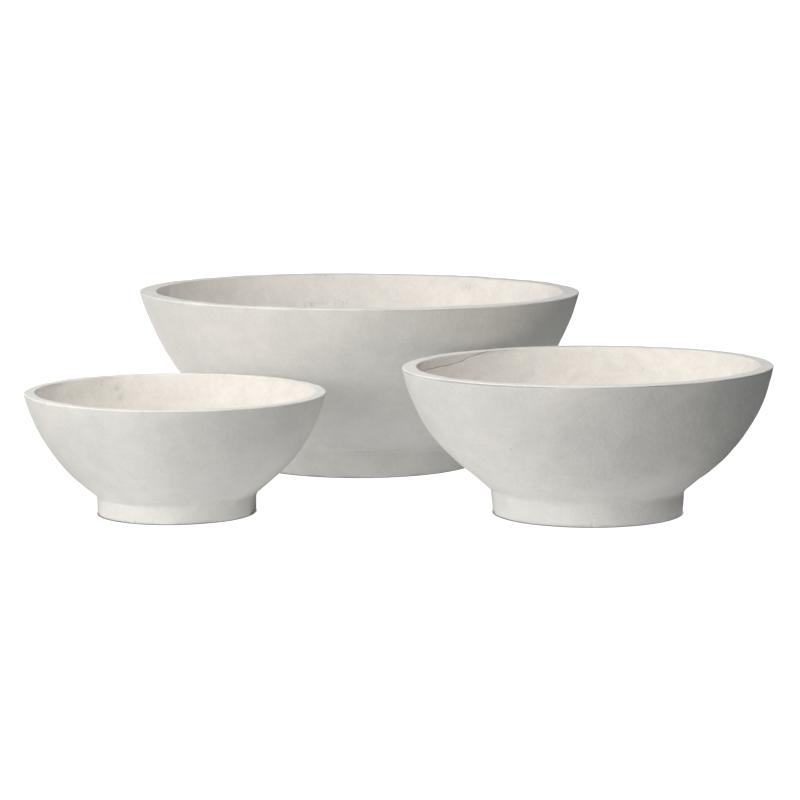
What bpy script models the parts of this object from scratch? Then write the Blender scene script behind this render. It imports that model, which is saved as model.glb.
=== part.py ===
"""Set of three footed bowls, cast in a pale mineral mix, each with a rubber drain plug.

Units are metres and +Z is up. The origin is on the floor, at the middle of the set's plan.
The large bowl stands at the back (+Y), the small one at the front left and the medium one
at the front right.
"""

import math
from dataclasses import dataclass

import bpy
from mathutils import Vector

# Driving dimensions ------------------------------------------------------------------------

GAP = 0.0003                # clearance between neighbouring pieces


@dataclass(frozen=True)
class Bowl:
    """One casting. Its outer wall is an arc below the rim, then a straight flare to the foot."""

    rim_radius: float
    height: float
    wall: float             # width of the flat rim top
    rim_lean: float         # degrees from vertical, where the wall meets the rim
    wall_flare: float       # degrees from vertical, where the wall meets the foot
    foot_top_radius: float
    foot_height: float
    foot_radius: float      # at the floor; the foot tapers down to it
    floor: float            # thickness under the inside
    floor_fillet: float     # between the inside wall and the flat inside floor
    place: tuple            # plan position, from the large bowl's centre


BOWLS = {
    "large": Bowl(
        rim_radius=0.3350, height=0.2650, wall=0.0246, rim_lean=14.5, wall_flare=47.0,
        foot_top_radius=0.1760, foot_height=0.0380, foot_radius=0.1730,
        floor=0.0320, floor_fillet=0.070, place=(0.0, 0.0),
    ),
    "medium": Bowl(
        rim_radius=0.2505, height=0.2016, wall=0.0196, rim_lean=10.0, wall_flare=50.5,
        foot_top_radius=0.1312, foot_height=0.0325, foot_radius=0.1282,
        floor=0.0260, floor_fillet=0.050, place=(0.3141, -0.4801),
    ),
    "small": Bowl(
        rim_radius=0.2050, height=0.1667, wall=0.0146, rim_lean=12.5, wall_flare=49.5,
        foot_top_radius=0.1090, foot_height=0.0258, foot_radius=0.1078,
        floor=0.0220, floor_fillet=0.040, place=(-0.2443, -0.4630),
    ),
}

RIM_OUTER_ROUND = 0.0030    # the rim's outer edge is rounded over
RIM_INNER_ROUND = 0.0015    # the inner edge is sharper
FOOT_TOP_FILLET = 0.0090    # soft inside corner between the wall and the foot
FOOT_EDGE_ROUND = 0.0025

DRAIN_RADIUS = 0.0125
PLUG_SHANK_TAPER = 0.0012   # the shank narrows by this much, on the radius, to its tip
PLUG_SHANK_TIP = 0.0060     # height of the shank's tip above the floor under the bowl
PLUG_HEAD_RADIUS = 0.0185
PLUG_HEAD_RIM = 0.0022      # height of the head's edge
PLUG_HEAD_CROWN = 0.0048    # height of the head's middle
PLUG_EDGE_ROUND = 0.0008

BOWL_STEPS = 64             # flats round a bowl
PLUG_STEPS = 32
WALL_STEPS = 9              # flats along the curved wall

STONE_COLOUR = (0.66, 0.645, 0.61, 1.0)
RUBBER_COLOUR = (0.035, 0.035, 0.037, 1.0)


# Profiles: points are (radius, height), run down the outside and up the inside -------------

def wall_curve_radius(top_radius, top_height, lean, end_radius, end_height, flare):
    """Radius of the arc that leaves the rim at lean and runs tangent into the flare line."""
    run = top_radius - end_radius
    drop = top_height - end_height
    arc_run = math.cos(lean) - math.cos(flare)
    arc_drop = math.sin(flare) - math.sin(lean)
    return (run - drop * math.tan(flare)) / (arc_run - arc_drop * math.tan(flare))


def arc_points(centre, radius, start, end, steps):
    """Points on an arc under its centre, by the wall's angle from vertical."""
    turns = [start + (end - start) * i / steps for i in range(steps + 1)]
    return [
        Vector((centre.x + radius * math.cos(t), centre.y - radius * math.sin(t)))
        for t in turns
    ]


def fillet(before, corner, after, radius, steps):
    """Points of the arc that rounds a corner between two straight runs."""
    back = (before - corner).normalized()
    ahead = (after - corner).normalized()
    half = back.angle(ahead) / 2
    middle = corner + (back + ahead).normalized() * radius / math.sin(half)
    first = (corner + back * radius / math.tan(half) - middle).normalized()
    last = (corner + ahead * radius / math.tan(half) - middle).normalized()
    return [middle + first.slerp(last, i / steps) * radius for i in range(steps + 1)]


def bowl_profile(bowl):
    """Closed outline of half the bowl's section."""
    lean = math.radians(bowl.rim_lean)
    flare = math.radians(bowl.wall_flare)
    outer = wall_curve_radius(
        bowl.rim_radius, bowl.height, lean, bowl.foot_top_radius, bowl.foot_height, flare)
    thickness = bowl.wall * math.cos(lean)
    inner = outer - thickness
    centre = Vector((
        bowl.rim_radius - outer * math.cos(lean),
        bowl.height + outer * math.sin(lean),
    ))

    rim_outer = Vector((bowl.rim_radius, bowl.height))
    rim_inner = Vector((bowl.rim_radius - bowl.wall, bowl.height))
    outside = arc_points(centre, outer, lean, flare, WALL_STEPS)
    inner_lean = math.asin((centre.y - bowl.height) / inner)
    inside = arc_points(centre, inner, flare, inner_lean, WALL_STEPS - 1)

    foot_top = Vector((bowl.foot_top_radius, bowl.foot_height))
    foot_edge = Vector((bowl.foot_radius, 0.0))
    drain_bottom = Vector((DRAIN_RADIUS, 0.0))
    drain_top = Vector((DRAIN_RADIUS, bowl.floor))
    floor_edge = Vector((
        bowl.foot_top_radius - thickness / math.cos(flare)
        + (bowl.floor - bowl.foot_height) * math.tan(flare),
        bowl.floor,
    ))

    return (
        fillet(rim_inner, rim_outer, outside[1], RIM_OUTER_ROUND, 3)
        + outside[1:]
        + fillet(outside[-1], foot_top, foot_edge, FOOT_TOP_FILLET, 2)
        + fillet(foot_top, foot_edge, drain_bottom, FOOT_EDGE_ROUND, 1)
        + [drain_bottom, drain_top]
        + fillet(drain_top, floor_edge, inside[0], bowl.floor_fillet, 3)
        + inside[:-1]
        + fillet(inside[-2], rim_inner, rim_outer, RIM_INNER_ROUND, 1)
    )


def plug_profile(floor):
    """Outline of half the plug, from the crown to the tip. Height 0 is the bowl's floor."""
    shank = DRAIN_RADIUS - GAP
    tip = PLUG_SHANK_TIP - floor
    head_edge = Vector((PLUG_HEAD_RADIUS, PLUG_HEAD_RIM))
    head_under = Vector((PLUG_HEAD_RADIUS, GAP))
    crown = Vector((0.0, PLUG_HEAD_CROWN))
    shoulder = Vector((PLUG_HEAD_RADIUS * 0.6, PLUG_HEAD_CROWN * 0.93))
    shank_top = Vector((shank, GAP))
    shank_tip = Vector((shank - PLUG_SHANK_TAPER, tip))
    return (
        [crown, shoulder]
        + fillet(shoulder, head_edge, head_under, PLUG_EDGE_ROUND, 2)
        + [head_under, shank_top]
        + fillet(shank_top, shank_tip, Vector((0.0, tip)), PLUG_EDGE_ROUND * 2, 1)
        + [Vector((0.0, tip))]
    )


# Objects -----------------------------------------------------------------------------------

def clear_scene():
    for old in list(bpy.data.objects):
        bpy.data.objects.remove(old, do_unlink=True)


def make_material(name, colour, roughness):
    material = bpy.data.materials.new(name)
    material.use_nodes = True
    shader = material.node_tree.nodes["Principled BSDF"]
    shader.inputs["Base Color"].default_value = colour
    shader.inputs["Roughness"].default_value = roughness
    shader.inputs["Metallic"].default_value = 0.0
    material.diffuse_color = colour
    return material


def turned_object(name, points, closed, steps, material):
    """A solid of revolution about its own Z axis, made by a Screw modifier."""
    count = len(points)
    edges = [(i, i + 1) for i in range(count - 1)]
    if closed:
        edges.append((count - 1, 0))
    mesh = bpy.data.meshes.new(name)
    mesh.from_pydata([(p.x, 0.0, p.y) for p in points], edges, [])
    mesh.materials.append(material)
    piece = bpy.data.objects.new(name, mesh)
    bpy.context.scene.collection.objects.link(piece)
    turn = piece.modifiers.new("turn", "SCREW")
    turn.axis = "Z"
    turn.angle = math.tau
    turn.steps = steps
    turn.render_steps = steps
    turn.use_merge_vertices = True
    turn.merge_threshold = 0.00005
    turn.use_smooth_shade = True
    return piece


def plan_middle():
    """Middle of the box round the three rims, measured from the large bowl's centre."""
    lows = []
    highs = []
    for bowl in BOWLS.values():
        centre = Vector(bowl.place)
        reach = max(point.x for point in bowl_profile(bowl))
        lows.append(centre - Vector((reach, reach)))
        highs.append(centre + Vector((reach, reach)))
    left, right = min(p.x for p in lows), max(p.x for p in highs)
    front, back = min(p.y for p in lows), max(p.y for p in highs)
    return Vector(((left + right) / 2, (front + back) / 2, 0.0))


def make_place(size, bowl):
    """The empty that a bowl and its plug stand on."""
    place = bpy.data.objects.new(size + "_place", None)
    place.location = Vector((*bowl.place, 0.0)) - plan_middle()
    bpy.context.scene.collection.objects.link(place)
    return place


def make_bowl(size, bowl, place, stone):
    casting = turned_object(size + "_bowl", bowl_profile(bowl), True, BOWL_STEPS, stone)
    casting.parent = place
    return casting


def make_drain_plug(size, bowl, place, rubber):
    plug = turned_object(
        size + "_drain_plug", plug_profile(bowl.floor), False, PLUG_STEPS, rubber)
    plug.parent = place
    plug.location = (0.0, 0.0, bowl.floor)
    return plug


def main():
    clear_scene()
    stone = make_material("cast_stone", STONE_COLOUR, 0.92)
    rubber = make_material("rubber", RUBBER_COLOUR, 0.65)
    for size, bowl in BOWLS.items():
        place = make_place(size, bowl)
        make_bowl(size, bowl, place, stone)
        make_drain_plug(size, bowl, place, rubber)


main()
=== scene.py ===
"""Looks of the set of three cast bowls: fine meshes, concrete and rubber, studio and camera.

Every length but the camera's lens and sensor is in metres, in the frame of the CAD model: +Z
is up, the bowls stand at zero and the camera looks along +Y. Azimuths are in degrees round a
bowl's own axis, from +X to +Y.
"""

import math
from dataclasses import dataclass, field

import bpy
import numpy as np
from mathutils import Matrix, Vector


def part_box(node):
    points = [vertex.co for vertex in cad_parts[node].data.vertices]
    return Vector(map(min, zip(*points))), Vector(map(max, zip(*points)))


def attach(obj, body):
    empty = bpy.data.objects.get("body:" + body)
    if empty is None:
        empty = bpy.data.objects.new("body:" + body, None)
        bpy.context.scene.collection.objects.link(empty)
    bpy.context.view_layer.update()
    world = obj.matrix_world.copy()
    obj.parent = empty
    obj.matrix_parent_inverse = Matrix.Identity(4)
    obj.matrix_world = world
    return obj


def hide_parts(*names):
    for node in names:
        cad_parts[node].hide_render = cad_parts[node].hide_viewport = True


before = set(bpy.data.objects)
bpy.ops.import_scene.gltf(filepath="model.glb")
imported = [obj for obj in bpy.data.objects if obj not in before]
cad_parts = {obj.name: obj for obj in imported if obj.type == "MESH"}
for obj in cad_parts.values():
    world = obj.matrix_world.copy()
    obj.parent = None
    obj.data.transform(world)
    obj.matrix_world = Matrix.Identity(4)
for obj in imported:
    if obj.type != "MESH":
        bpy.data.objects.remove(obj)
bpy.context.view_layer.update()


# The castings' sections, as in the CAD model ------------------------------------------------

@dataclass(frozen=True)
class Groove:
    """A scratch or crack in the surface between two places, given as (azimuth, drop)."""

    side: str               # "inside" or "outside"
    start: tuple
    end: tuple              # drop is the depth below the rim's top
    width: float
    depth: float


@dataclass(frozen=True)
class Crease:
    """A joint between two pours on the inside wall, level at first and then up to the rim."""

    rim_azimuth: float      # where it meets the rim
    level_azimuth: float    # where it has come down to its full drop
    end_azimuth: float      # where it fades out
    drop: float             # below the rim's top
    width: float
    depth: float
    step: float             # how far the later pour, above it, stands proud
    gap_azimuth: float      # where it is almost closed


@dataclass(frozen=True)
class Bowl:
    """A casting. rim_radius is where the wall's curve would meet the rim's top, unrounded."""

    rim_radius: float
    wall: float
    rim_lean: float
    wall_flare: float
    foot_top_radius: float
    foot_height: float
    foot_radius: float
    floor: float
    floor_fillet: float
    seed: int
    foot_shift: tuple       # how far hand casting left the foot off the rim's axis
    rim_rise: tuple         # how far hand casting left the rim off level: mean, +X and +Y sides
    seam: float             # depth of the mould's seam, at its deepest
    seam_azimuth: float     # where the seam is deepest
    grooves: list = field(default_factory=list)
    creases: list = field(default_factory=list)
    rough_patches: list = field(default_factory=list)   # (azimuth, drop, half width)
    air_holes: list = field(default_factory=list)       # outside: (azimuth, drop, radius)
    foot_ripple: float = 0.0        # depth of the rings that the mould left above the foot


BOWLS = {
    "large": Bowl(
        rim_radius=0.3350, wall=0.0246, rim_lean=14.5, wall_flare=47.0,
        foot_top_radius=0.1760, foot_height=0.0380, foot_radius=0.1730,
        floor=0.0320, floor_fillet=0.070, seed=11, foot_shift=(0.0035, 0.0),
        rim_rise=(-0.0006, -0.0028, -0.0002),
        seam=0.00012, seam_azimuth=-35.0,
        grooves=[
            Groove("inside", (55.0, 0.015), (55.6, 0.023), 0.0011, 0.00035),
            Groove("inside", (56.6, 0.014), (56.2, 0.021), 0.0009, 0.00030),
            Groove("inside", (58.0, 0.016), (57.4, 0.024), 0.0010, 0.00035),
            Groove("inside", (98.6, 0.006), (98.2, 0.008), 0.0014, 0.00050),
        ],
        rough_patches=[(97.5, 0.046, 0.014), (103.0, 0.043, 0.014), (107.0, 0.048, 0.009)],
        air_holes=[(-105.0, 0.087, 0.0012), (-67.0, 0.032, 0.0010)],
        foot_ripple=0.00028,
    ),
    "medium": Bowl(
        rim_radius=0.2505, wall=0.0196, rim_lean=10.0, wall_flare=50.5,
        foot_top_radius=0.1312, foot_height=0.0325, foot_radius=0.1282,
        floor=0.0260, floor_fillet=0.050, seed=23, foot_shift=(0.0015, 0.0),
        rim_rise=(0.0000, 0.0017, -0.0006),
        seam=0.00080, seam_azimuth=-150.0,
        creases=[Crease(
            rim_azimuth=116.0, level_azimuth=145.0, end_azimuth=190.0, drop=0.0155,
            width=0.0006, depth=0.00060, step=0.00020, gap_azimuth=121.5)],
        air_holes=[(-121.0, 0.089, 0.0014)],
    ),
    "small": Bowl(
        rim_radius=0.2050, wall=0.0146, rim_lean=12.5, wall_flare=49.5,
        foot_top_radius=0.1090, foot_height=0.0258, foot_radius=0.1078,
        floor=0.0220, floor_fillet=0.040, seed=37, foot_shift=(-0.0006, 0.0),
        rim_rise=(0.0000, -0.0018, 0.0009),
        seam=0.00008, seam_azimuth=-60.0,
        grooves=[
            Groove("inside", (127.6, 0.0035), (128.9, 0.0100), 0.0011, 0.00070),
        ],
        rough_patches=[(121.5, 0.014, 0.009), (121.0, 0.028, 0.009)],
        air_holes=[(-163.0, 0.051, 0.0018), (-128.5, 0.135, 0.0010)],
    ),
}

RIM_OUTER_ROUND = 0.0015
RIM_INNER_ROUND = 0.0011
FOOT_TOP_FILLET = 0.0120
FOOT_EDGE_ROUND = 0.0022
DRAIN_RADIUS = 0.0125
DRAIN_EDGE_ROUND = 0.0006

RIM_WAVE = 0.0005           # the furthest that waves take the rim's top from its middle level
# Spreads of what hand casting leaves uneven, which goes up to twice as far
FOOT_WAVE = 0.0008          # the foot's top
WALL_WAVE = 0.0006          # the wall's thickness
RIM_ROUND_SPREAD = 0.2      # the rim's rounds, as a share of their radii
FOOT_FILLET_SPREAD = 0.3    # the foot's top fillet, as a share of its radius

SEAM_DROP = 0.0028          # the mould's seam, below the rim's top
SEAM_WIDTH = 0.0008
SEAM_WANDER = 0.0002        # how far it strays up and down
SEAM_SHADE = 700.0          # painted shade in the seam, for each metre of its depth
RIPPLE_BAND = 0.0070        # half the height of the rings round the foot's top corner
RIPPLE_WAVELENGTH = 0.0052
# painted shade in the rings round the foot, for each metre of their depth
RIPPLE_SHADE = 500.0
PIT_SHADE = 0.45            # painted shade in a deep pit, and the most that any pit gets
PIT_SHADE_SLOPE = 1.4       # painted shade in a shallow one, for its depth over its radius
# painted shade in a groove
GROOVE_SHADE = 0.5
# painted shade in a crease
CREASE_SHADE = 0.90
CREASE_STEP_DARKENING = 0.10    # how much darker the band above a crease is, where the later pour stands proud
CREASE_START = 2.0          # degrees over which a crease fades in
CREASE_WOBBLE = 0.0004
CREASE_CLOSED = 0.75        # how nearly closed a crease is at its gap
CREASE_GAP = 1.6            # about half the gap's width, in degrees
CORNER_SHADE = 0.05         # painted shade where the wall meets the foot
CORNER_REACH = 0.004
GROUND_SHADE = 0.35         # painted shade along the foot's lower edge, by the floor
GROUND_REACH = 0.005
FAR = 1.0                   # stands for no mark near

SEGMENTS = 288              # round a bowl
NEAR_RIM_RINGS = 14         # fine rings, from the rim to below the seam
NEAR_RIM_REACH = 2.4        # how far down they go, in depths of the seam below the rim
OUTSIDE_RINGS = 72
INSIDE_RINGS = 64
WALL_CROWDING = 1.25        # above 1, the wall's rings lie closer together near the rim
MARK_STEPS = 6              # quads across, where a mark cuts up one quad of the mesh; even
PIT_MARGIN = 0.0008         # how far round a pit the mesh is cut
LINE_MARGIN = 0.0016        # and along grooves and creases

# Relief of the surface: one strength for each wavelength
RELIEF_WAVELENGTHS = (0.100, 0.034, 0.014)
RELIEF = {
    "outside": (0.00042, 0.00014, 0.00005),
    "inside": (0.00080, 0.00026, 0.00010),
    "floor": (0.0, 0.00008, 0.00008),
    "rim": (0.00022, 0.00012, 0.00007),
    "foot": (0.00025, 0.00012, 0.00005),
}

# Plugs, as in the CAD model
PLUG_GAP = 0.0003
PLUG_TIP = 0.0060           # height of the shank's tip above the floor under the bowl
PLUG_TAPER = 0.0012
PLUG_HEAD_RADIUS = 0.0185
PLUG_HEAD_RIM = 0.0022
PLUG_HEAD_CROWN = 0.0048
PLUG_SEGMENTS = 128

CAMERA_LENS = 119.5         # in millimetres, like the sensor's width
CAMERA_SENSOR = 36.0
CAMERA_PLACE = Vector((0.0030, -3.8525, 0.6021))
CAMERA_PITCH = 7.151        # degrees down
CAMERA_ROLL = -0.30
FLOOR_SIZE = 30.0
FLOOR_DEPTH = 0.0003        # the floor lies this far under the bowls
CARD_HEIGHT = 0.0004        # height of the studio's lit cards, just over the floor
SOFTBOX_DISTANCE = 3.2
SOFTBOX_SIZE = 1.7
SOFTBOX_LIGHT = (1.0, 0.990, 0.975)
WARM_LIGHT = (1.0, 0.940, 0.885)
COOL_LIGHT = (0.88, 0.98, 1.0)
FLOOR_GREY = (0.25, 0.25, 0.25)     # what the bowls see of the floor
WHITE_OUT = 1.15            # brightness of the floor and backdrop that the camera sees
CONTACT_REACH = 0.005       # how far round a foot the floor is darker
CONTACT_SHADE = 0.10        # its brightness right at the foot
CONTACT_SHUT = 0.35         # share of open sky at which it is darkest
CONTACT_OPEN = 0.85         # and from which it is white


# Small helpers ------------------------------------------------------------------------------

def unit(values):
    """Complex numbers, brought to length 1."""
    return values / np.abs(values)


def smooth(edge_a, edge_b, values):
    """0 at edge_a, 1 at edge_b, with an easy start and end."""
    t = np.clip((values - edge_a) / (edge_b - edge_a), 0.0, 1.0)
    return t * t * (3.0 - 2.0 * t)


def waves(points, wavelength, seed, count=28):
    """Smooth noise of unit spread over an array of points, from a sum of plane waves."""
    rng = np.random.default_rng(seed)
    total = np.zeros(points.shape[:-1])
    for _ in range(count):
        direction = rng.normal(size=3)
        direction /= np.linalg.norm(direction)
        number = math.tau / (wavelength * rng.uniform(0.7, 1.5))
        total += np.cos(points @ direction * number + rng.uniform(0, math.tau))
    return total * math.sqrt(2.0 / count)


# Sections: complex numbers, radius + height i, one for each azimuth -------------------------

def arc(centre, radius, start, end, steps, crowding=1.0):
    """Rings on an arc under its centre, by the wall's angle from vertical."""
    shares = [(i / steps) ** crowding for i in range(steps + 1)]
    return [centre + radius * np.exp(-1j * (start + (end - start) * t)) for t in shares]


def fillet(before, corner, after, radius, steps):
    """Rings of the arc that rounds a corner."""
    back = unit(before - corner)
    ahead = unit(after - corner)
    half = np.arccos(np.clip((back * np.conj(ahead)).real, -1.0, 1.0)) / 2
    middle = corner + unit(back + ahead) * radius / np.sin(half)
    first = corner + back * radius / np.tan(half) - middle
    last = corner + ahead * radius / np.tan(half) - middle
    sweep = np.angle(last / first)
    return [middle + first * np.exp(1j * sweep * i / steps) for i in range(steps + 1)]


def between(start, end, steps):
    """Rings strictly between two others."""
    return [start + (end - start) * i / steps for i in range(1, steps)]


def wall_curve_radius(top, lean, end, flare):
    """Radius of the arc that leaves the rim at lean and runs tangent into the flare line."""
    run = (top - end).real
    drop = (top - end).imag
    arc_run = np.cos(lean) - np.cos(flare)
    arc_drop = np.sin(flare) - np.sin(lean)
    return (run - drop * np.tan(flare)) / (arc_run - arc_drop * np.tan(flare))


def section(bowl, height, azimuths):
    """The bowl's section at every azimuth: a list of (region, ring of points)."""
    circle = np.stack([np.cos(azimuths), np.sin(azimuths), np.zeros_like(azimuths)], -1)
    ones = np.ones_like(azimuths)

    def uneven(wavelength, salt):
        return np.clip(waves(circle, wavelength, bowl.seed * 100 + salt), -2.0, 2.0)

    lean = np.radians(bowl.rim_lean) * ones
    flare = np.radians(bowl.wall_flare) * ones
    rim_top = height - RIM_WAVE + RIM_WAVE / 2 * uneven(1.6, 1)
    rim_outer = bowl.rim_radius + 1j * rim_top
    foot_top = bowl.foot_top_radius + 1j * (bowl.foot_height + FOOT_WAVE * uneven(1.2, 2))
    foot_edge = bowl.foot_radius + 0j * ones
    outer = wall_curve_radius(rim_outer, lean, foot_top, flare)
    centre = rim_outer - outer * np.exp(-1j * lean)
    wall = bowl.wall + WALL_WAVE * uneven(0.9, 3)
    thickness = wall * np.cos(lean)
    inner = outer - thickness
    inner_lean = np.arcsin((centre - rim_outer).imag / inner)
    rim_inner = centre.real + inner * np.cos(inner_lean) + 1j * rim_top

    outer_round = RIM_OUTER_ROUND * (1.0 + RIM_ROUND_SPREAD * uneven(0.7, 4))
    inner_round = RIM_INNER_ROUND * (1.0 + RIM_ROUND_SPREAD * uneven(0.5, 6))
    foot_round = FOOT_TOP_FILLET * (1.0 + FOOT_FILLET_SPREAD * uneven(0.8, 5))
    outer_cut = outer_round / np.tan((math.pi / 2 - lean) / 2) / outer
    inner_cut = inner_round / np.tan((math.pi / 2 + inner_lean) / 2) / inner
    seam_band = lean + NEAR_RIM_REACH * SEAM_DROP / outer
    near_rim = arc(centre, outer, lean + outer_cut, seam_band, NEAR_RIM_RINGS)
    outside = near_rim + arc(centre, outer, seam_band, flare, OUTSIDE_RINGS, WALL_CROWDING)[1:]
    inside = arc(
        centre, inner, inner_lean + inner_cut, flare, INSIDE_RINGS, WALL_CROWDING)[::-1]

    drain_low = DRAIN_RADIUS + 0j * ones
    drain_top = DRAIN_RADIUS + 1j * bowl.floor * ones
    floor_edge = (
        foot_top.real - thickness / np.cos(flare)
        + (bowl.floor - foot_top.imag) * np.tan(flare) + 1j * bowl.floor
    )

    rim_edge = fillet(rim_inner, rim_outer, outside[0], outer_round, 6)
    foot_corner = fillet(outside[-1], foot_top, foot_edge, foot_round, 9)
    foot_low = fillet(foot_top, foot_edge, drain_low, FOOT_EDGE_ROUND, 4)
    bore_low = fillet(foot_edge, drain_low, drain_top, DRAIN_EDGE_ROUND, 2)
    bore_top = fillet(drain_low, drain_top, floor_edge, DRAIN_EDGE_ROUND, 2)
    floor_curve = fillet(drain_top, floor_edge, inside[0], bowl.floor_fillet, 14)
    lip = fillet(inside[-1], rim_inner, rim_outer, inner_round, 3)

    parts = [
        ("rim", rim_edge),
        ("outside", outside[1:]),
        ("outside", between(outside[-1], foot_corner[0], 7)),
        ("foot", foot_corner),
        ("foot", between(foot_corner[-1], foot_low[0], 12)),
        ("foot", foot_low),
        ("under", between(foot_low[-1], bore_low[0], 7)),
        ("bore", bore_low),
        ("bore", between(bore_low[-1], bore_top[0], 5)),
        ("bore", bore_top),
        ("floor", between(bore_top[-1], floor_curve[0], 12)),
        ("inside", floor_curve),
        ("inside", between(floor_curve[-1], inside[0], 8)),
        ("inside", inside[:-1]),
        ("rim", lip),
        ("rim", between(lip[-1], rim_edge[0], 7)),
    ]
    return [(region, ring) for region, rings in parts for ring in rings]


# Castings -----------------------------------------------------------------------------------

def along_rings(values, reach):
    """Averages one value per ring with its neighbours, round the closed section."""
    kernel = np.hanning(2 * reach + 3)[1:-1]
    padded = np.concatenate([values[-reach:], values, values[:reach]])
    return np.convolve(padded, kernel / kernel.sum(), mode="valid")


def share(regions, names, reach):
    """How far each ring belongs to the named regions, from 0 to 1."""
    return along_rings(np.array([float(region in names) for region in regions]), reach)


def grid_normals(grid):
    """Outward unit normals of a grid of points that is closed both ways."""
    down = np.roll(grid, -1, 0) - np.roll(grid, 1, 0)
    round_ = np.roll(grid, -1, 1) - np.roll(grid, 1, 1)
    normals = np.cross(down, round_)
    return normals / np.linalg.norm(normals, axis=-1, keepdims=True)


def on_grid(grid, ring, column):
    """Points of a grid that is closed both ways, at fractions of rings and columns.

    Columns are evenly spaced, so a cubic runs through them. Rings aren't, so it is straight.
    """
    t = column - np.floor(column)
    shares = (-t + 2 * t**2 - t**3, 2 - 5 * t**2 + 3 * t**3, t + 4 * t**2 - 3 * t**3, t**3 - t**2)
    first_column = np.floor(column).astype(int) - 1
    above = np.floor(ring).astype(int)
    down = (ring - above)[:, None]
    total = np.zeros((len(ring), 3))
    for step, part in enumerate(shares):
        chosen = (first_column + step) % grid.shape[1]
        upper = grid[above % grid.shape[0], chosen]
        lower = grid[(above + 1) % grid.shape[0], chosen]
        total += part[:, None] / 2 * (upper + (lower - upper) * down)
    return total


# A quad's corners and the neighbour across the edge that starts at each, as (ring, column)
CORNERS = ((0, 0), (1, 0), (1, 1), (0, 1))
NEIGHBOURS = ((0, -1), (1, 0), (0, 1), (-1, 0))


def cut_up(marked):
    """A mesh over a grid that is closed both ways, with the marked quads cut up finely.

    The quads round them become fans. Returns each vertex's ring and column, as fractions, and
    the faces.
    """
    rings, columns = (count * MARK_STEPS for count in marked.shape)

    def key(ring, column):
        return (ring % rings) * columns + column % columns

    def quads(ring, column, step):
        return np.stack([key(ring + step * r, column + step * c) for r, c in CORNERS], -1)

    fan = np.zeros_like(marked)
    for shift in NEIGHBOURS:
        fan |= np.roll(marked, shift, (0, 1)) & ~marked
    faces = quads(*(index * MARK_STEPS for index in np.nonzero(~marked & ~fan)), MARK_STEPS)
    faces = faces.tolist()
    ring, column = (index * MARK_STEPS for index in np.nonzero(marked))
    for down in range(MARK_STEPS):
        for across in range(MARK_STEPS):
            faces += quads(ring + down, column + across, 1).tolist()
    for ring, column in zip(*np.nonzero(fan)):
        outline = []
        for corner, (down, across) in enumerate(NEIGHBOURS):
            start = np.array(CORNERS[corner])
            ahead = np.array(CORNERS[(corner + 1) % 4]) - start
            beyond = marked[(ring + down) % marked.shape[0], (column + across) % marked.shape[1]]
            for step in range(MARK_STEPS if beyond else 1):
                place = (np.array([ring, column]) + start) * MARK_STEPS + ahead * step
                outline.append(key(*place))
        half = MARK_STEPS // 2
        centre = key(ring * MARK_STEPS + half, column * MARK_STEPS + half)
        faces += [(centre, a, b) for a, b in zip(outline, outline[1:] + outline[:1])]

    keys = np.array(sorted({int(name) for face in faces for name in face}))
    numbers = {name: number for number, name in enumerate(keys.tolist())}
    faces = [[numbers[int(name)] for name in face] for face in faces]
    return keys // columns / MARK_STEPS, keys % columns / MARK_STEPS, faces


def relief(grid, regions, bowl):
    """Moves the grid's points as hand casting does: slow waves, then finer lumps."""
    height = np.zeros(grid.shape[:-1])
    for octave, wavelength in enumerate(RELIEF_WAVELENGTHS):
        strength = sum(share(regions, (name,), 4) * RELIEF[name][octave] for name in RELIEF)
        height += strength[:, None] * waves(grid, wavelength, bowl.seed * 10 + octave)
    return grid + grid_normals(grid) * height[..., None]


def rim_lift(bowl, places):
    """How far off level the rim stands, at the azimuth of each place."""
    rise, east, north = bowl.rim_rise
    return rise + (east * places[..., 0] + north * places[..., 1]) / bowl.rim_radius


def bowl_grid(bowl, height):
    """The bowl's points about its own axis, ring by ring, and each ring's region."""
    azimuths = np.arange(SEGMENTS) * math.tau / SEGMENTS
    rings = section(bowl, height, azimuths)
    regions = [region for region, _ in rings]
    points = np.array([ring * np.ones(SEGMENTS) for _, ring in rings])
    grid = np.stack([
        points.real * np.cos(azimuths), points.real * np.sin(azimuths), points.imag], -1)

    sag = 1.0 - np.clip(grid[..., 2] / height, 0.0, 1.0)
    near_drain = smooth(2 * DRAIN_RADIUS, 5 * DRAIN_RADIUS, points.real)
    shift = share(regions, ("outside", "foot", "under"), 3)[:, None] * sag * near_drain
    grid[..., 0] += shift * bowl.foot_shift[0]
    grid[..., 1] += shift * bowl.foot_shift[1]
    grid = relief(grid, regions, bowl)
    grid[..., 2] = np.clip(grid[..., 2], 0.0, height)
    grid[..., 2] += rim_lift(bowl, grid) * smooth(bowl.foot_height, height, grid[..., 2])
    return grid, regions


# Marks on the castings ----------------------------------------------------------------------

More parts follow.
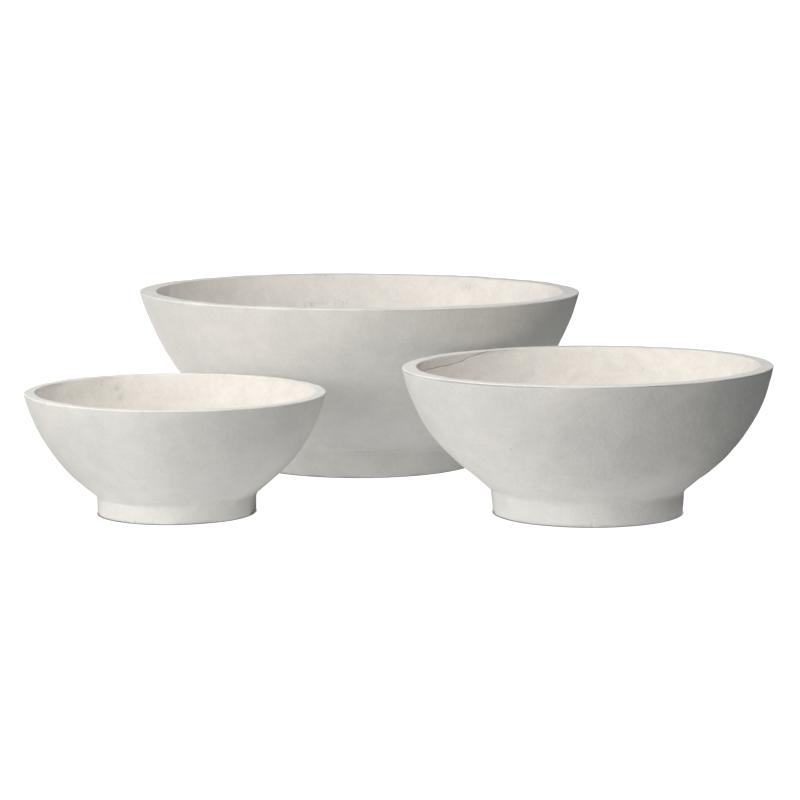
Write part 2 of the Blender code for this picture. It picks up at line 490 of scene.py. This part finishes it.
class Surface:
    """A casting's points about its own axis, for finding and carving places."""

    def __init__(self, places, inside, outside, height):
        self.places = places
        self.sides = {"inside": inside, "outside": outside}     # from 0 to 1
        self.azimuths = np.degrees(np.arctan2(places[:, 1], places[:, 0]))
        self.radii = np.hypot(places[:, 0], places[:, 1])
        self.drops = height - places[:, 2]
        self.height = height
        self.normals = np.zeros_like(places)
        # How dark each vertex is painted: painted shade in the hollows and along the foot, and
        # the slightly darker band above a crease
        self.painted_shade = np.zeros(len(places))

    def turn(self, azimuth):
        """Each vertex's angle from an azimuth, in degrees, from -180 to 180."""
        return (self.azimuths - azimuth + 180.0) % 360.0 - 180.0

    def spot(self, side, azimuth, drop):
        """The vertex nearest to an azimuth and a drop on one side of the wall."""
        across = np.radians(self.turn(azimuth)) * self.radii
        away = across ** 2 + (self.drops - drop) ** 2
        return self.places[np.argmin(away + (self.sides[side] < 0.5))]

    def from_spot(self, place):
        return np.linalg.norm(self.places - place, axis=1)

    def from_line(self, start, end):
        """Each vertex's distance from the line between two places."""
        along = (self.places - start) @ (end - start) / np.dot(end - start, end - start)
        nearest = start + np.clip(along, 0.0, 1.0)[:, None] * (end - start)
        return np.linalg.norm(self.places - nearest, axis=1)

    def from_crease(self, crease):
        """Each vertex's distance below a crease, and how strong the crease is there."""
        turn = self.turn(crease.rim_azimuth)
        level = crease.level_azimuth - crease.rim_azimuth
        length = crease.end_azimuth - crease.rim_azimuth
        path = crease.drop * smooth(0.0, level, turn)
        wobble = CREASE_WOBBLE * waves(self.places, 0.022, 5)
        fade = smooth(0.0, CREASE_START, turn) * smooth(length, level, turn)
        fade = fade * self.sides["inside"]
        return self.drops - path - wobble, fade

    def carve(self, depth, shade_amount, way=None):
        """Sinks vertices along a way, or against their normals, and notes the painted shade that
        darkens them.
        """
        way = -self.normals if way is None else way
        self.places = self.places + way * depth[:, None]
        self.painted_shade = np.maximum(self.painted_shade, shade_amount)


@dataclass(frozen=True)
class Pit:
    """A small hole or chip."""

    place: tuple
    radius: float
    depth: float


def scattered_pits(surface, bowl):
    """Air holes on the walls, chips along the rim and foot, and the rough patches' holes."""
    rng = np.random.default_rng(bowl.seed)
    pits = []

    def scatter(count, side, azimuths, drops, radii, depths):
        """Adds pits at random, each value from its own range."""
        for _ in range(count):
            place = surface.spot(side, rng.uniform(*azimuths), rng.uniform(*drops))
            pits.append(Pit(place, rng.uniform(*radii), rng.uniform(*depths)))

    wall = surface.height - bowl.foot_height
    all_round = (-180.0, 180.0)
    scatter(9, "outside", all_round, (0.012, wall), (0.0008, 0.0014), (0.0002, 0.0005))
    scatter(9, "inside", all_round, (0.010, wall), (0.0008, 0.0016), (0.0003, 0.0006))
    scatter(5, "outside", all_round, (0.0, 0.002), (0.0018, 0.0032), (0.0003, 0.0006))
    scatter(3, "inside", all_round, (0.0, 0.002), (0.0014, 0.0026), (0.0002, 0.0005))
    foot_edge = (surface.height - 0.002, surface.height)
    scatter(6, "outside", all_round, foot_edge, (0.0020, 0.0036), (0.0004, 0.0009))
    for azimuth, drop, half_width in bowl.rough_patches:
        half_turn = math.degrees(half_width / bowl.rim_radius)
        azimuths = (azimuth - half_turn, azimuth + half_turn)
        drops = (drop - half_width / 2, drop + half_width / 2)
        scatter(8, "inside", azimuths, drops, (0.0008, 0.0015), (0.0003, 0.0006))
        scatter(3, "inside", azimuths, drops, (0.0025, 0.0045), (0.0003, 0.0005))
    for azimuth, drop, radius in bowl.air_holes:
        pits.append(Pit(surface.spot("outside", azimuth, drop), radius, 0.5 * radius))
    return pits


def mark_distance(surface, bowl, pits):
    """Each vertex's distance from the nearest mark's surroundings, below 0 inside them."""
    nearest = np.full(len(surface.places), FAR)
    for pit in pits:
        nearest = np.minimum(nearest, surface.from_spot(pit.place) - pit.radius - PIT_MARGIN)
    for groove in bowl.grooves:
        line = groove_line(surface, groove)
        nearest = np.minimum(nearest, surface.from_line(*line) - LINE_MARGIN)
    for crease in bowl.creases:
        below, fade = surface.from_crease(crease)
        nearest = np.minimum(nearest, np.where(fade > 0.02, np.abs(below) - LINE_MARGIN, FAR))
    return nearest


def groove_line(surface, groove):
    """The places where a groove starts and ends."""
    return surface.spot(groove.side, *groove.start), surface.spot(groove.side, *groove.end)


def carve_marks(surface, bowl, pits, lines):
    """Sinks the pits, grooves and creases, all with rough outlines, and paints shade into them.
    """
    rough = np.clip(1.0 + 0.3 * waves(surface.places, 0.0028, bowl.seed + 3), 0.6, 1.6)
    for pit in pits:
        away = surface.from_spot(pit.place)
        way = -surface.normals[np.argmin(away)]
        away = away * rough / pit.radius
        bowl_shape = np.clip(1.0 - away ** 2, 0.0, 1.0) ** 0.8
        # Painted shade in the pit, more for a deeper one
        shade_amount = min(PIT_SHADE, PIT_SHADE_SLOPE * pit.depth / pit.radius)
        surface.carve(pit.depth * bowl_shape, shade_amount * bowl_shape, way)
    for groove, line in zip(bowl.grooves, lines):
        away = surface.from_line(*line) * rough / groove.width * 2
        shape = np.exp(-away ** 2)
        surface.carve(groove.depth * shape, GROOVE_SHADE * shape)
    for crease in bowl.creases:
        below, fade = surface.from_crease(crease)
        closed = CREASE_CLOSED * np.exp(-(surface.turn(crease.gap_azimuth) / CREASE_GAP) ** 2)
        shape = np.exp(-(below / crease.width) ** 2) * fade * (1.0 - closed)
        above = smooth(crease.width, -crease.width, below) * fade
        above *= smooth(0.0, 0.003, surface.drops)
        # Painted shade in the crease; the band above it is darkened a little
        surface.carve(crease.depth * shape - crease.step * above,
                      np.maximum(CREASE_SHADE * shape, CREASE_STEP_DARKENING * above))


def carve_seam(surface, bowl):
    """The mould's seam, a faint line under the rim that is deeper on one side, with painted shade
    in it.
    """
    depth = bowl.seam * (0.6 + 0.4 * np.cos(np.radians(surface.turn(bowl.seam_azimuth))))
    depth *= 1.0 + 0.25 * waves(surface.places, 0.06, bowl.seed + 4)
    drop = SEAM_DROP + SEAM_WANDER * waves(surface.places, 0.15, bowl.seed + 5)
    drops = surface.drops + rim_lift(bowl, surface.places)
    shape = np.exp(-((drops - drop) / SEAM_WIDTH) ** 2) * surface.sides["outside"]
    surface.carve(depth * shape, SEAM_SHADE * depth * shape)


def carve_ripples(surface, bowl):
    """Faint level rings round the corner between wall and foot, with painted shade in them."""
    above = surface.places[:, 2] - bowl.foot_height
    band = np.exp(-((above - 0.001) / RIPPLE_BAND) ** 2) * surface.sides["outside"]
    rings = 0.5 + 0.5 * np.sin(above * math.tau / RIPPLE_WAVELENGTH)
    patchy = np.clip(0.6 + waves(surface.places, 0.20, bowl.seed + 7), 0.0, 1.2)
    depth = bowl.foot_ripple * band * rings * patchy
    surface.carve(depth, RIPPLE_SHADE * depth)


def paint_foot_shade(surface, bowl):
    """Painted shade where the wall meets the foot, and along the foot's lower edge by the floor.
    """
    outer = surface.sides["outside"]
    from_corner = (surface.places[:, 2] - bowl.foot_height) / CORNER_REACH
    corner = CORNER_SHADE * np.exp(-from_corner ** 2) * outer
    ground = GROUND_SHADE * smooth(GROUND_REACH, 0.0, surface.places[:, 2]) * outer
    patchy = np.clip(0.7 + 0.5 * waves(surface.places, 0.03, bowl.seed + 6), 0.0, 1.5)
    surface.painted_shade = np.maximum(surface.painted_shade, (corner + ground) * patchy)


def add_values(mesh, name, values):
    """Stores one number for each vertex, for the material to read."""
    attribute = mesh.attributes.new(name, "FLOAT", "POINT")
    attribute.data.foreach_set("value", values.astype(np.float32))


def build_casting(size, bowl):
    """One bowl: its section turned, roughened, cut up finely at the marks and carved."""
    low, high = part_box(size + "_bowl")
    middle = np.array([(low.x + high.x) / 2, (low.y + high.y) / 2, 0.0])
    grid, regions = bowl_grid(bowl, high.z)
    sides = {
        "inside": share(regions, ("inside", "floor", "bore"), 2),
        "outside": share(regions, ("outside", "foot"), 2),
        "rim": share(regions, ("rim",), 2),
    }
    coarse = Surface(
        grid.reshape(-1, 3), np.repeat(sides["inside"], SEGMENTS),
        np.repeat(sides["outside"], SEGMENTS), high.z)
    pits = scattered_pits(coarse, bowl)
    lines = [groove_line(coarse, groove) for groove in bowl.grooves]
    near = (mark_distance(coarse, bowl, pits) < 0.0).reshape(grid.shape[:2])
    marked = np.zeros_like(near)
    for down, across in CORNERS:
        marked |= np.roll(near, (-down, -across), (0, 1))
    ring, column, faces = cut_up(marked)

    mesh = bpy.data.meshes.new(size + "_casting")
    places = on_grid(grid, ring, column)
    mesh.from_pydata((places + middle).tolist(), [], faces)
    sides = {name: np.interp(ring, np.arange(len(regions)), sides[name]) for name in sides}
    surface = Surface(places, sides["inside"], sides["outside"], high.z)
    normals = np.empty(places.size)
    mesh.vertices.foreach_get("normal", normals)
    surface.normals = normals.reshape(-1, 3)
    carve_seam(surface, bowl)
    carve_ripples(surface, bowl)
    carve_marks(surface, bowl, pits, lines)
    paint_foot_shade(surface, bowl)
    surface.places[:, 2] = np.maximum(surface.places[:, 2], 0.0)
    mesh.vertices.foreach_set("co", (surface.places + middle).ravel())
    add_values(mesh, "inside", sides["inside"])
    add_values(mesh, "rim", sides["rim"])
    # Painted shade in the hollows and along the foot, which the material darkens by
    add_values(mesh, "painted_shade", surface.painted_shade)
    mesh.shade_smooth()

    casting = bpy.data.objects.new(size + "_casting", mesh)
    bpy.context.scene.collection.objects.link(casting)
    return casting


# Plugs --------------------------------------------------------------------------------------

def plug_outline(depth):
    """Half the plug's outline from the crown to the tip, as radius + height i.

    Height 0 is the bowl's floor, and depth is how far down the shank reaches.
    """
    def corner(before, at, after, radius, steps=4):
        rings = fillet(*(np.array([complex(*p)]) for p in (before, at, after)), radius, steps)
        return [complex(ring[0]) for ring in rings]

    shank = DRAIN_RADIUS - PLUG_GAP
    crown = PLUG_HEAD_CROWN
    button = (0.0052, crown)
    button_foot = (0.0056, crown - 0.0012)
    dish = (0.0098, crown - 0.0016)
    ridge = (0.0112, crown - 0.0006)
    shoulder = (0.0132, crown - 0.0010)
    edge_top = (PLUG_HEAD_RADIUS, PLUG_HEAD_RIM)
    edge_low = (PLUG_HEAD_RADIUS - 0.0004, PLUG_GAP)
    outline = [complex(0.0, crown)]
    outline += corner((0.0, crown), button, button_foot, 0.0005)
    outline += corner(button, button_foot, dish, 0.0004)
    outline += corner(button_foot, dish, ridge, 0.0004)
    outline += corner(dish, ridge, shoulder, 0.0006)
    outline += corner(ridge, shoulder, edge_top, 0.0020)
    outline += corner(shoulder, edge_top, edge_low, 0.0009, 6)
    outline += corner(edge_top, edge_low, (shank, PLUG_GAP), 0.0003)
    outline.append(complex(shank - 0.0006, PLUG_GAP))

    ribs = 3
    pitch = (depth - 0.004) / ribs
    for rib in range(ribs):
        top = -0.0015 - rib * pitch
        reach = shank - PLUG_TAPER * (rib + 1) / ribs
        outline += [
            complex(reach - 0.0010, top), complex(reach - 0.0002, top - 0.35 * pitch),
            complex(reach, top - 0.45 * pitch), complex(reach - 0.0002, top - 0.55 * pitch),
            complex(reach - 0.0010, top - 0.90 * pitch)]
    tip = shank - PLUG_TAPER - 0.0010
    outline += corner((tip, -depth / 2), (tip, -depth), (0.0, -depth), 0.0015)
    outline.append(complex(0.0, -depth))
    return outline


def build_plug(size, bowl):
    """A turned rubber plug in the bowl's drain hole."""
    low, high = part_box(size + "_drain_plug")
    middle = np.array([(low.x + high.x) / 2, (low.y + high.y) / 2, bowl.floor])
    outline = plug_outline(bowl.floor - PLUG_TIP)
    rings = np.array(outline[1:-1])
    azimuths = np.arange(PLUG_SEGMENTS) * math.tau / PLUG_SEGMENTS
    grid = np.stack([
        rings.real[:, None] * np.cos(azimuths), rings.real[:, None] * np.sin(azimuths),
        rings.imag[:, None] * np.ones(PLUG_SEGMENTS)], -1)
    points = grid.reshape(-1, 3).tolist() + [
        (0.0, 0.0, outline[0].imag), (0.0, 0.0, outline[-1].imag)]
    crown, tip = len(points) - 2, len(points) - 1
    last = (len(rings) - 1) * PLUG_SEGMENTS
    faces = []
    for column in range(PLUG_SEGMENTS):
        beside = (column + 1) % PLUG_SEGMENTS
        for start in range(0, last, PLUG_SEGMENTS):
            below = start + PLUG_SEGMENTS
            faces.append((start + column, below + column, below + beside, start + beside))
        faces.append((crown, column, beside))
        faces.append((last + column, tip, last + beside))

    mesh = bpy.data.meshes.new(size + "_plug")
    mesh.from_pydata((np.array(points) + middle).tolist(), [], faces)
    mesh.shade_smooth()
    plug = bpy.data.objects.new(size + "_plug_rubber", mesh)
    bpy.context.scene.collection.objects.link(plug)
    return plug


# Materials ----------------------------------------------------------------------------------

GREY_PASTE = (0.690, 0.686, 0.658)
WARM_PASTE = (0.752, 0.736, 0.702)
PINK_PASTE = (0.745, 0.715, 0.685)
INNER_PASTE = (0.800, 0.752, 0.706)
RIM_PASTE = (0.765, 0.752, 0.722)
# Colour that painted shade darkens the holes and hollows towards
PAINTED_SHADE_COLOUR = (0.300, 0.285, 0.255)
DARK_GRAIN = (0.270, 0.262, 0.240)
LIGHT_GRAIN = (0.860, 0.850, 0.820)


class Recipe:
    """A material under construction: makes nodes, and joins or sets their inputs."""

    def __init__(self, name):
        self.material = bpy.data.materials.new(name)
        self.material.use_nodes = True
        self.tree = self.material.node_tree
        self.shader = self.tree.nodes["Principled BSDF"]
        self.object_place = self.add("ShaderNodeTexCoord").outputs["Object"]

    def join(self, node, socket, value):
        """Links an input to another node's output, or sets it to a constant."""
        entry = node.inputs[socket]
        if isinstance(value, bpy.types.NodeSocket):
            self.tree.links.new(value, entry)
        elif isinstance(value, tuple) and entry.type == "RGBA":
            entry.default_value = (*value, 1.0)
        else:
            entry.default_value = value

    def add(self, kind, sockets=None, **settings):
        node = self.tree.nodes.new(kind)
        for name, value in settings.items():
            setattr(node, name, value)
        for socket, value in (sockets or {}).items():
            self.join(node, socket, value)
        return node

    def attribute(self, name):
        return self.add("ShaderNodeAttribute", attribute_name=name).outputs["Fac"]

    def stretched(self, x, y, z):
        """Object coordinates, scaled differently along each axis."""
        mapping = self.add("ShaderNodeMapping", {"Vector": self.object_place, "Scale": (x, y, z)})
        return mapping.outputs["Vector"]

    def noise(self, scale, detail=4.0, roughness=0.5, distortion=0.0, place=None):
        return self.add("ShaderNodeTexNoise", {
            "Vector": place or self.object_place, "Scale": scale, "Detail": detail,
            "Roughness": roughness, "Distortion": distortion}).outputs["Fac"]

    def ramp(self, value, from_low, from_high, to_low=0.0, to_high=1.0):
        return self.add("ShaderNodeMapRange", {
            "Value": value, "From Min": from_low, "From Max": from_high,
            "To Min": to_low, "To Max": to_high}, interpolation_type="SMOOTHSTEP",
        ).outputs["Result"]

    def math(self, operation, first, second):
        return self.add("ShaderNodeMath", {0: first, 1: second}, operation=operation).outputs[0]

    def blend(self, amount, first, second):
        """Mixes two colours. The numbered sockets are the node's colour ones."""
        return self.add(
            "ShaderNodeMix", {0: amount, 6: first, 7: second}, data_type="RGBA").outputs[2]

    def shade(self, colour, factor):
        return self.add(
            "ShaderNodeVectorMath", {0: colour, "Scale": factor}, operation="SCALE").outputs[0]

    def dots(self, scale, radius, rarity):
        """Round spots in a few of a Voronoi pattern's cells: 1 in a spot, 0 elsewhere."""
        cells = self.add("ShaderNodeTexVoronoi", {"Vector": self.object_place, "Scale": scale})
        chance = self.add("ShaderNodeSeparateColor", {"Color": cells.outputs["Color"]})
        size = self.ramp(chance.outputs["Green"], 0.0, 1.0, 0.5 * radius, radius)
        near = self.math("DIVIDE", cells.outputs["Distance"], size)
        spot = self.ramp(near, 1.0, 0.6)
        chosen = self.math("GREATER_THAN", chance.outputs["Red"], rarity)
        return self.math("MULTIPLY", spot, chosen)

    def bump(self, height, distance, strength, below=None):
        sockets = {"Height": height, "Distance": distance, "Strength": strength}
        if below:
            sockets["Normal"] = below
        return self.add("ShaderNodeBump", sockets).outputs["Normal"]

    def finish(self, **sockets):
        for name, value in sockets.items():
            self.join(self.shader, name.replace("_", " "), value)
        return self.material


def concrete():
    """Pale cast concrete: cloudy, finely sandy, with a few coarse grains and air holes, and
    painted shade in its holes and hollows.
    """
    mix = Recipe("pale_concrete")
    inside = mix.attribute("inside")
    rim = mix.attribute("rim")
    painted_shade = mix.attribute("painted_shade")

    clouds = mix.noise(8.0, detail=6.0, roughness=0.60, distortion=0.6)
    tint = mix.noise(19.0, detail=4.0, roughness=0.55)
    streaks = mix.noise(1.0, detail=5.0, roughness=0.6, place=mix.stretched(30.0, 30.0, 44.0))
    trowel = mix.noise(46.0, detail=5.0, roughness=0.65, distortion=0.8)
    mottle = mix.noise(170.0, detail=5.0, roughness=0.65)
    sand = mix.noise(850.0, detail=3.0, roughness=0.7)
    colour = mix.blend(mix.ramp(clouds, 0.30, 0.70), GREY_PASTE, WARM_PASTE)
    colour = mix.blend(mix.ramp(tint, 0.52, 0.75, 0.0, 0.55), colour, PINK_PASTE)
    colour = mix.blend(mix.ramp(inside, 0.3, 0.7, 0.0, 0.55), colour, INNER_PASTE)
    colour = mix.blend(mix.ramp(rim, 0.4, 0.9, 0.0, 0.50), colour, RIM_PASTE)
    colour = mix.shade(colour, mix.ramp(streaks, 0.28, 0.72, 0.972, 1.026))
    rubbed = mix.math("MULTIPLY", inside, mix.ramp(trowel, 0.30, 0.70, -0.035, 0.025))
    colour = mix.shade(colour, mix.math("ADD", rubbed, 1.0))
    colour = mix.shade(colour, mix.ramp(mottle, 0.30, 0.70, 0.983, 1.017))
    colour = mix.shade(colour, mix.ramp(sand, 0.25, 0.75, 0.92, 1.08))

    holes = mix.dots(150.0, 0.11, 0.90)
    dark_grains = mix.dots(210.0, 0.11, 0.86)
    light_grains = mix.dots(170.0, 0.13, 0.82)
    colour = mix.blend(mix.math("MULTIPLY", dark_grains, 0.50), colour, DARK_GRAIN)
    colour = mix.blend(mix.math("MULTIPLY", light_grains, 0.55), colour, LIGHT_GRAIN)
    # Painted shade: the tiny air holes and the mesh's hollows and foot edge are darkened towards
    # the shade colour
    colour = mix.blend(mix.math("MULTIPLY", holes, 0.55), colour, PAINTED_SHADE_COLOUR)
    colour = mix.blend(mix.math("MULTIPLY", painted_shade, 0.75), colour, PAINTED_SHADE_COLOUR)

    roughness = mix.ramp(mix.noise(60.0, detail=4.0), 0.3, 0.7, 0.86, 0.98)
    normal = mix.bump(sand, 0.00020, 0.7)
    normal = mix.bump(mottle, 0.00130, 0.5, normal)
    worked = mix.ramp(inside, 0.3, 0.7, 0.25, 0.9)
    normal = mix.bump(trowel, 0.00100, worked, normal)
    normal = mix.bump(mix.math("MULTIPLY", holes, -1.0), 0.00050, 0.9, normal)
    return mix.finish(
        Base_Color=colour, Roughness=roughness, Specular_IOR_Level=0.25, Normal=normal)


def rubber():
    """Black rubber, dusty and scuffed."""
    mix = Recipe("black_rubber")
    clouds = mix.noise(90.0, detail=5.0, roughness=0.6)
    dust = mix.noise(420.0, detail=4.0, roughness=0.7)
    colour = mix.blend(mix.ramp(clouds, 0.3, 0.7), (0.016, 0.016, 0.017), (0.034, 0.033, 0.032))
    colour = mix.blend(mix.ramp(dust, 0.52, 0.80, 0.0, 0.35), colour, (0.250, 0.240, 0.220))
    normal = mix.bump(mix.noise(1500.0, detail=2.0), 0.00006, 0.6)
    normal = mix.bump(clouds, 0.00025, 0.4, normal)
    return mix.finish(
        Base_Color=colour, Roughness=mix.ramp(dust, 0.3, 0.7, 0.50, 0.80), Normal=normal)


# Studio -------------------------------------------------------------------------------------

def plane(name, low, high, height):
    """A flat rectangle in the studio, which isn't part of the object."""
    corners = [(low[0], low[1]), (high[0], low[1]), (high[0], high[1]), (low[0], high[1])]
    mesh = bpy.data.meshes.new(name)
    mesh.from_pydata([(x, y, height) for x, y in corners], [], [(0, 1, 2, 3)])
    sheet = bpy.data.objects.new(name, mesh)
    bpy.context.scene.collection.objects.link(sheet)
    return sheet


def add_floor():
    """A grey floor. The camera alone sees it white, but for the feet's shade."""
    half = FLOOR_SIZE / 2
    floor = plane("floor", (-half, -half), (half, half), -FLOOR_DEPTH)
    material = bpy.data.materials.new("pale_floor")
    material.use_nodes = True
    nodes, links = material.node_tree.nodes, material.node_tree.links
    shader = nodes["Principled BSDF"]
    shader.inputs["Base Color"].default_value = (*FLOOR_GREY, 1.0)
    shader.inputs["Roughness"].default_value = 1.0
    open_sky = nodes.new("ShaderNodeAmbientOcclusion")
    open_sky.inputs["Distance"].default_value = CONTACT_REACH
    contact = nodes.new("ShaderNodeMapRange")
    contact.inputs["From Min"].default_value = CONTACT_SHUT
    contact.inputs["From Max"].default_value = CONTACT_OPEN
    contact.inputs["To Min"].default_value = CONTACT_SHADE
    contact.inputs["To Max"].default_value = WHITE_OUT
    links.new(open_sky.outputs["AO"], contact.inputs["Value"])
    glow = nodes.new("ShaderNodeEmission")
    links.new(contact.outputs["Result"], glow.inputs["Strength"])
    path = nodes.new("ShaderNodeLightPath")
    mix = nodes.new("ShaderNodeMixShader")
    links.new(path.outputs["Is Camera Ray"], mix.inputs["Fac"])
    links.new(shader.outputs["BSDF"], mix.inputs[1])
    links.new(glow.outputs["Emission"], mix.inputs[2])
    links.new(mix.outputs["Shader"], nodes["Material Output"].inputs["Surface"])
    floor.data.materials.append(material)


def add_card(name, low, high, brightness, colour=(1.0, 1.0, 1.0)):
    """A lit stretch of the floor that throws light up at the bowls."""
    card = plane(name, low, high, CARD_HEIGHT)
    card.visible_camera = False
    card.visible_shadow = False         # so that the feet's shade on the floor ignores it
    material = bpy.data.materials.new(name)
    material.use_nodes = True
    shader = material.node_tree.nodes["Principled BSDF"]
    shader.inputs["Base Color"].default_value = (*FLOOR_GREY, 1.0)
    shader.inputs["Roughness"].default_value = 1.0
    shader.inputs["Emission Color"].default_value = (*colour, 1.0)
    shader.inputs["Emission Strength"].default_value = brightness
    card.data.materials.append(material)


def add_world():
    """A white backdrop for the camera, and darkness for everything else."""
    world = bpy.data.worlds.new("studio")
    world.use_nodes = True
    nodes, links = world.node_tree.nodes, world.node_tree.links
    dark = nodes["Background"]
    dark.inputs["Color"].default_value = (1, 1, 1, 1)
    dark.inputs["Strength"].default_value = 0.0
    seen = nodes.new("ShaderNodeBackground")
    seen.inputs["Color"].default_value = (1, 1, 1, 1)
    seen.inputs["Strength"].default_value = WHITE_OUT
    path = nodes.new("ShaderNodeLightPath")
    mix = nodes.new("ShaderNodeMixShader")
    links.new(path.outputs["Is Camera Ray"], mix.inputs["Fac"])
    links.new(dark.outputs["Background"], mix.inputs[1])
    links.new(seen.outputs["Background"], mix.inputs[2])
    links.new(mix.outputs["Shader"], nodes["World Output"].inputs["Surface"])
    bpy.context.scene.world = world


def add_softbox(name, azimuth, elevation, power, colour):
    """A round area light that looks at the middle of the set. Angles are in degrees."""
    light = bpy.data.lights.new(name, "AREA")
    light.shape = "DISK"
    light.size = SOFTBOX_SIZE
    light.energy = power
    light.color = colour
    box = bpy.data.objects.new(name, light)
    turn, rise = math.radians(azimuth), math.radians(elevation)
    box.location = SOFTBOX_DISTANCE * Vector((
        math.cos(turn) * math.cos(rise), math.sin(turn) * math.cos(rise), math.sin(rise)))
    box.rotation_euler = (-box.location).to_track_quat("-Z", "Y").to_euler()
    bpy.context.scene.collection.objects.link(box)


def add_camera():
    """The camera, a long lens that looks a little down."""
    data = bpy.data.cameras.new("camera")
    data.lens = CAMERA_LENS
    data.sensor_width = CAMERA_SENSOR
    camera = bpy.data.objects.new("camera", data)
    tilt = Matrix.Rotation(math.radians(90.0 - CAMERA_PITCH), 4, "X")
    roll = Matrix.Rotation(math.radians(CAMERA_ROLL), 4, "Z")
    camera.matrix_world = Matrix.Translation(CAMERA_PLACE) @ tilt @ roll
    bpy.context.scene.collection.objects.link(camera)
    bpy.context.scene.camera = camera


def add_studio():
    """Everything round the object: camera, backdrop, floor, cards and softboxes."""
    bpy.context.scene.view_settings.view_transform = "Standard"
    add_camera()
    add_world()
    add_floor()
    add_card("left_card", (-1.0, -0.2), (-0.45, 0.8), 0.83, WARM_LIGHT)
    add_card("left_front_card", (-1.0, -1.1), (-0.45, -0.2), 0.19)
    add_card("front_card", (-0.45, -0.5), (0.43, -0.3), 0.58)
    add_card("far_front_card", (-0.6, -0.75), (0.6, -0.5), 0.28)
    add_card("middle_card", (-0.45, -0.2), (0.50, 0.8), 0.53)
    add_card("right_card", (0.60, -1.1), (1.1, 0.8), 0.36, COOL_LIGHT)
    add_softbox("key", 210.0, 12.0, 30.0, SOFTBOX_LIGHT)
    add_softbox("second_key", 240.0, 12.0, 32.0, SOFTBOX_LIGHT)
    add_softbox("front", 270.0, 40.0, 14.5, SOFTBOX_LIGHT)
    add_softbox("top", 270.0, 68.0, 57.0, SOFTBOX_LIGHT)
    add_softbox("back", 150.0, 40.0, 28.0, SOFTBOX_LIGHT)


def main():
    """Builds the studio, then each bowl and its plug, and tells the frame what they are."""
    add_studio()
    stone = concrete()
    black = rubber()
    for size, bowl in BOWLS.items():
        casting = build_casting(size, bowl)
        casting.data.materials.append(stone)
        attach(casting, size)
        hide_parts(size + "_bowl")
        plug = build_plug(size, bowl)
        plug.data.materials.append(black)
        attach(plug, size + "_plug")
        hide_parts(size + "_drain_plug")


main()
